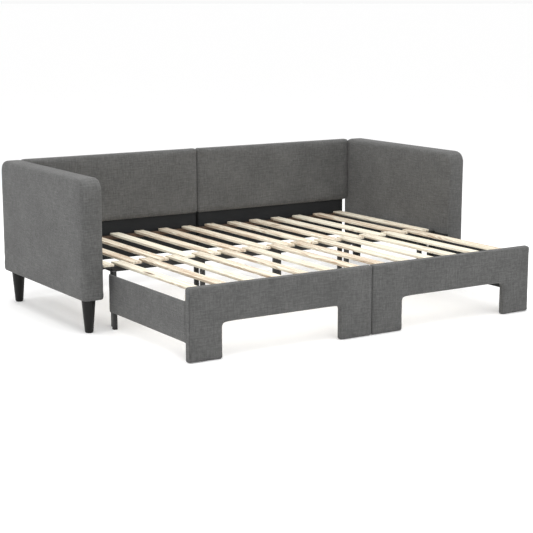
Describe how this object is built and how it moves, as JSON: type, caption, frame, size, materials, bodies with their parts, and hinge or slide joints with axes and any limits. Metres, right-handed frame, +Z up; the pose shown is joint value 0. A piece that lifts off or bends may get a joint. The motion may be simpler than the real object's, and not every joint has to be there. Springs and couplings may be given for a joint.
{
  "type": "trundle bed",
  "caption": "Upholstered daybed with a pull-out slatted extension whose slats slide between those of the bed, turning the single seat into a double bed.",
  "frame": {"origin": "on the floor, in the middle of the footprint with the extension pulled right out", "axes": "+X along the bed to its right, +Y from the front towards the back rest, +Z up"},
  "size_m": [2.23, 1.64, 0.722],
  "materials": {
    "upholstery": "matte woven polyester, slubby plain weave, dark grey",
    "lining": "black non-woven lining over board",
    "plywood": "raw plywood and timber, hidden",
    "pine": "raw planed pine",
    "steel": "black powder coat, satin",
    "tapered_leg": "black, satin moulded"
  },
  "bodies": {
    "daybed": {"arm_cover_left": "upholstery", "arm_cover_right": "upholstery", "arm_frame_left": "plywood", "arm_frame_right": "plywood", "arm_tie_left": "steel", "arm_tie_right": "steel", "back_board_left": "lining", "back_board_right": "lining", "back_cover_left": "upholstery", "back_cover_right": "upholstery", "back_joining_plate": "steel", "bed_slat_01": "pine", "bed_slat_02": "pine", "bed_slat_03": "pine", "bed_slat_04": "pine", "bed_slat_05": "pine", "bed_slat_06": "pine", "bed_slat_07": "pine", "bed_slat_08": "pine", "bed_slat_09": "pine", "bed_slat_10": "pine", "bed_slat_11": "pine", "bed_slat_12": "pine", "bed_slat_13": "pine", "bed_slat_14": "pine", "front_rail_left": "steel", "front_rail_right": "steel", "rear_slat_ledge": "pine", "side_rail_left": "steel", "side_rail_right": "steel", "tapered_leg_front_left": "tapered_leg", "tapered_leg_front_right": "tapered_leg", "tapered_leg_rear_left": "tapered_leg", "tapered_leg_rear_right": "tapered_leg"},
    "trundle": {"trundle_front_board_left": "plywood", "trundle_front_board_right": "plywood", "trundle_front_cover_left": "upholstery", "trundle_front_cover_right": "upholstery", "trundle_rear_batten": "pine", "trundle_rear_leg_left": "steel", "trundle_rear_leg_right": "steel", "trundle_seam_plate": "steel", "trundle_side_leg_left": "steel", "trundle_side_leg_right": "steel", "trundle_side_panel_left": "upholstery", "trundle_side_panel_right": "upholstery", "trundle_slat_01": "pine", "trundle_slat_02": "pine", "trundle_slat_03": "pine", "trundle_slat_04": "pine", "trundle_slat_05": "pine", "trundle_slat_06": "pine", "trundle_slat_07": "pine", "trundle_slat_08": "pine", "trundle_slat_09": "pine", "trundle_slat_10": "pine", "trundle_slat_11": "pine", "trundle_slat_12": "pine", "trundle_slat_13": "pine", "trundle_slat_ledge": "pine"}
  },
  "joints": [
    {"name": "trundle_slide", "type": "slide", "parent": "daybed", "child": "trundle", "axis": [0, 1, 0], "range_m": [0, 0.68]}
  ]
}
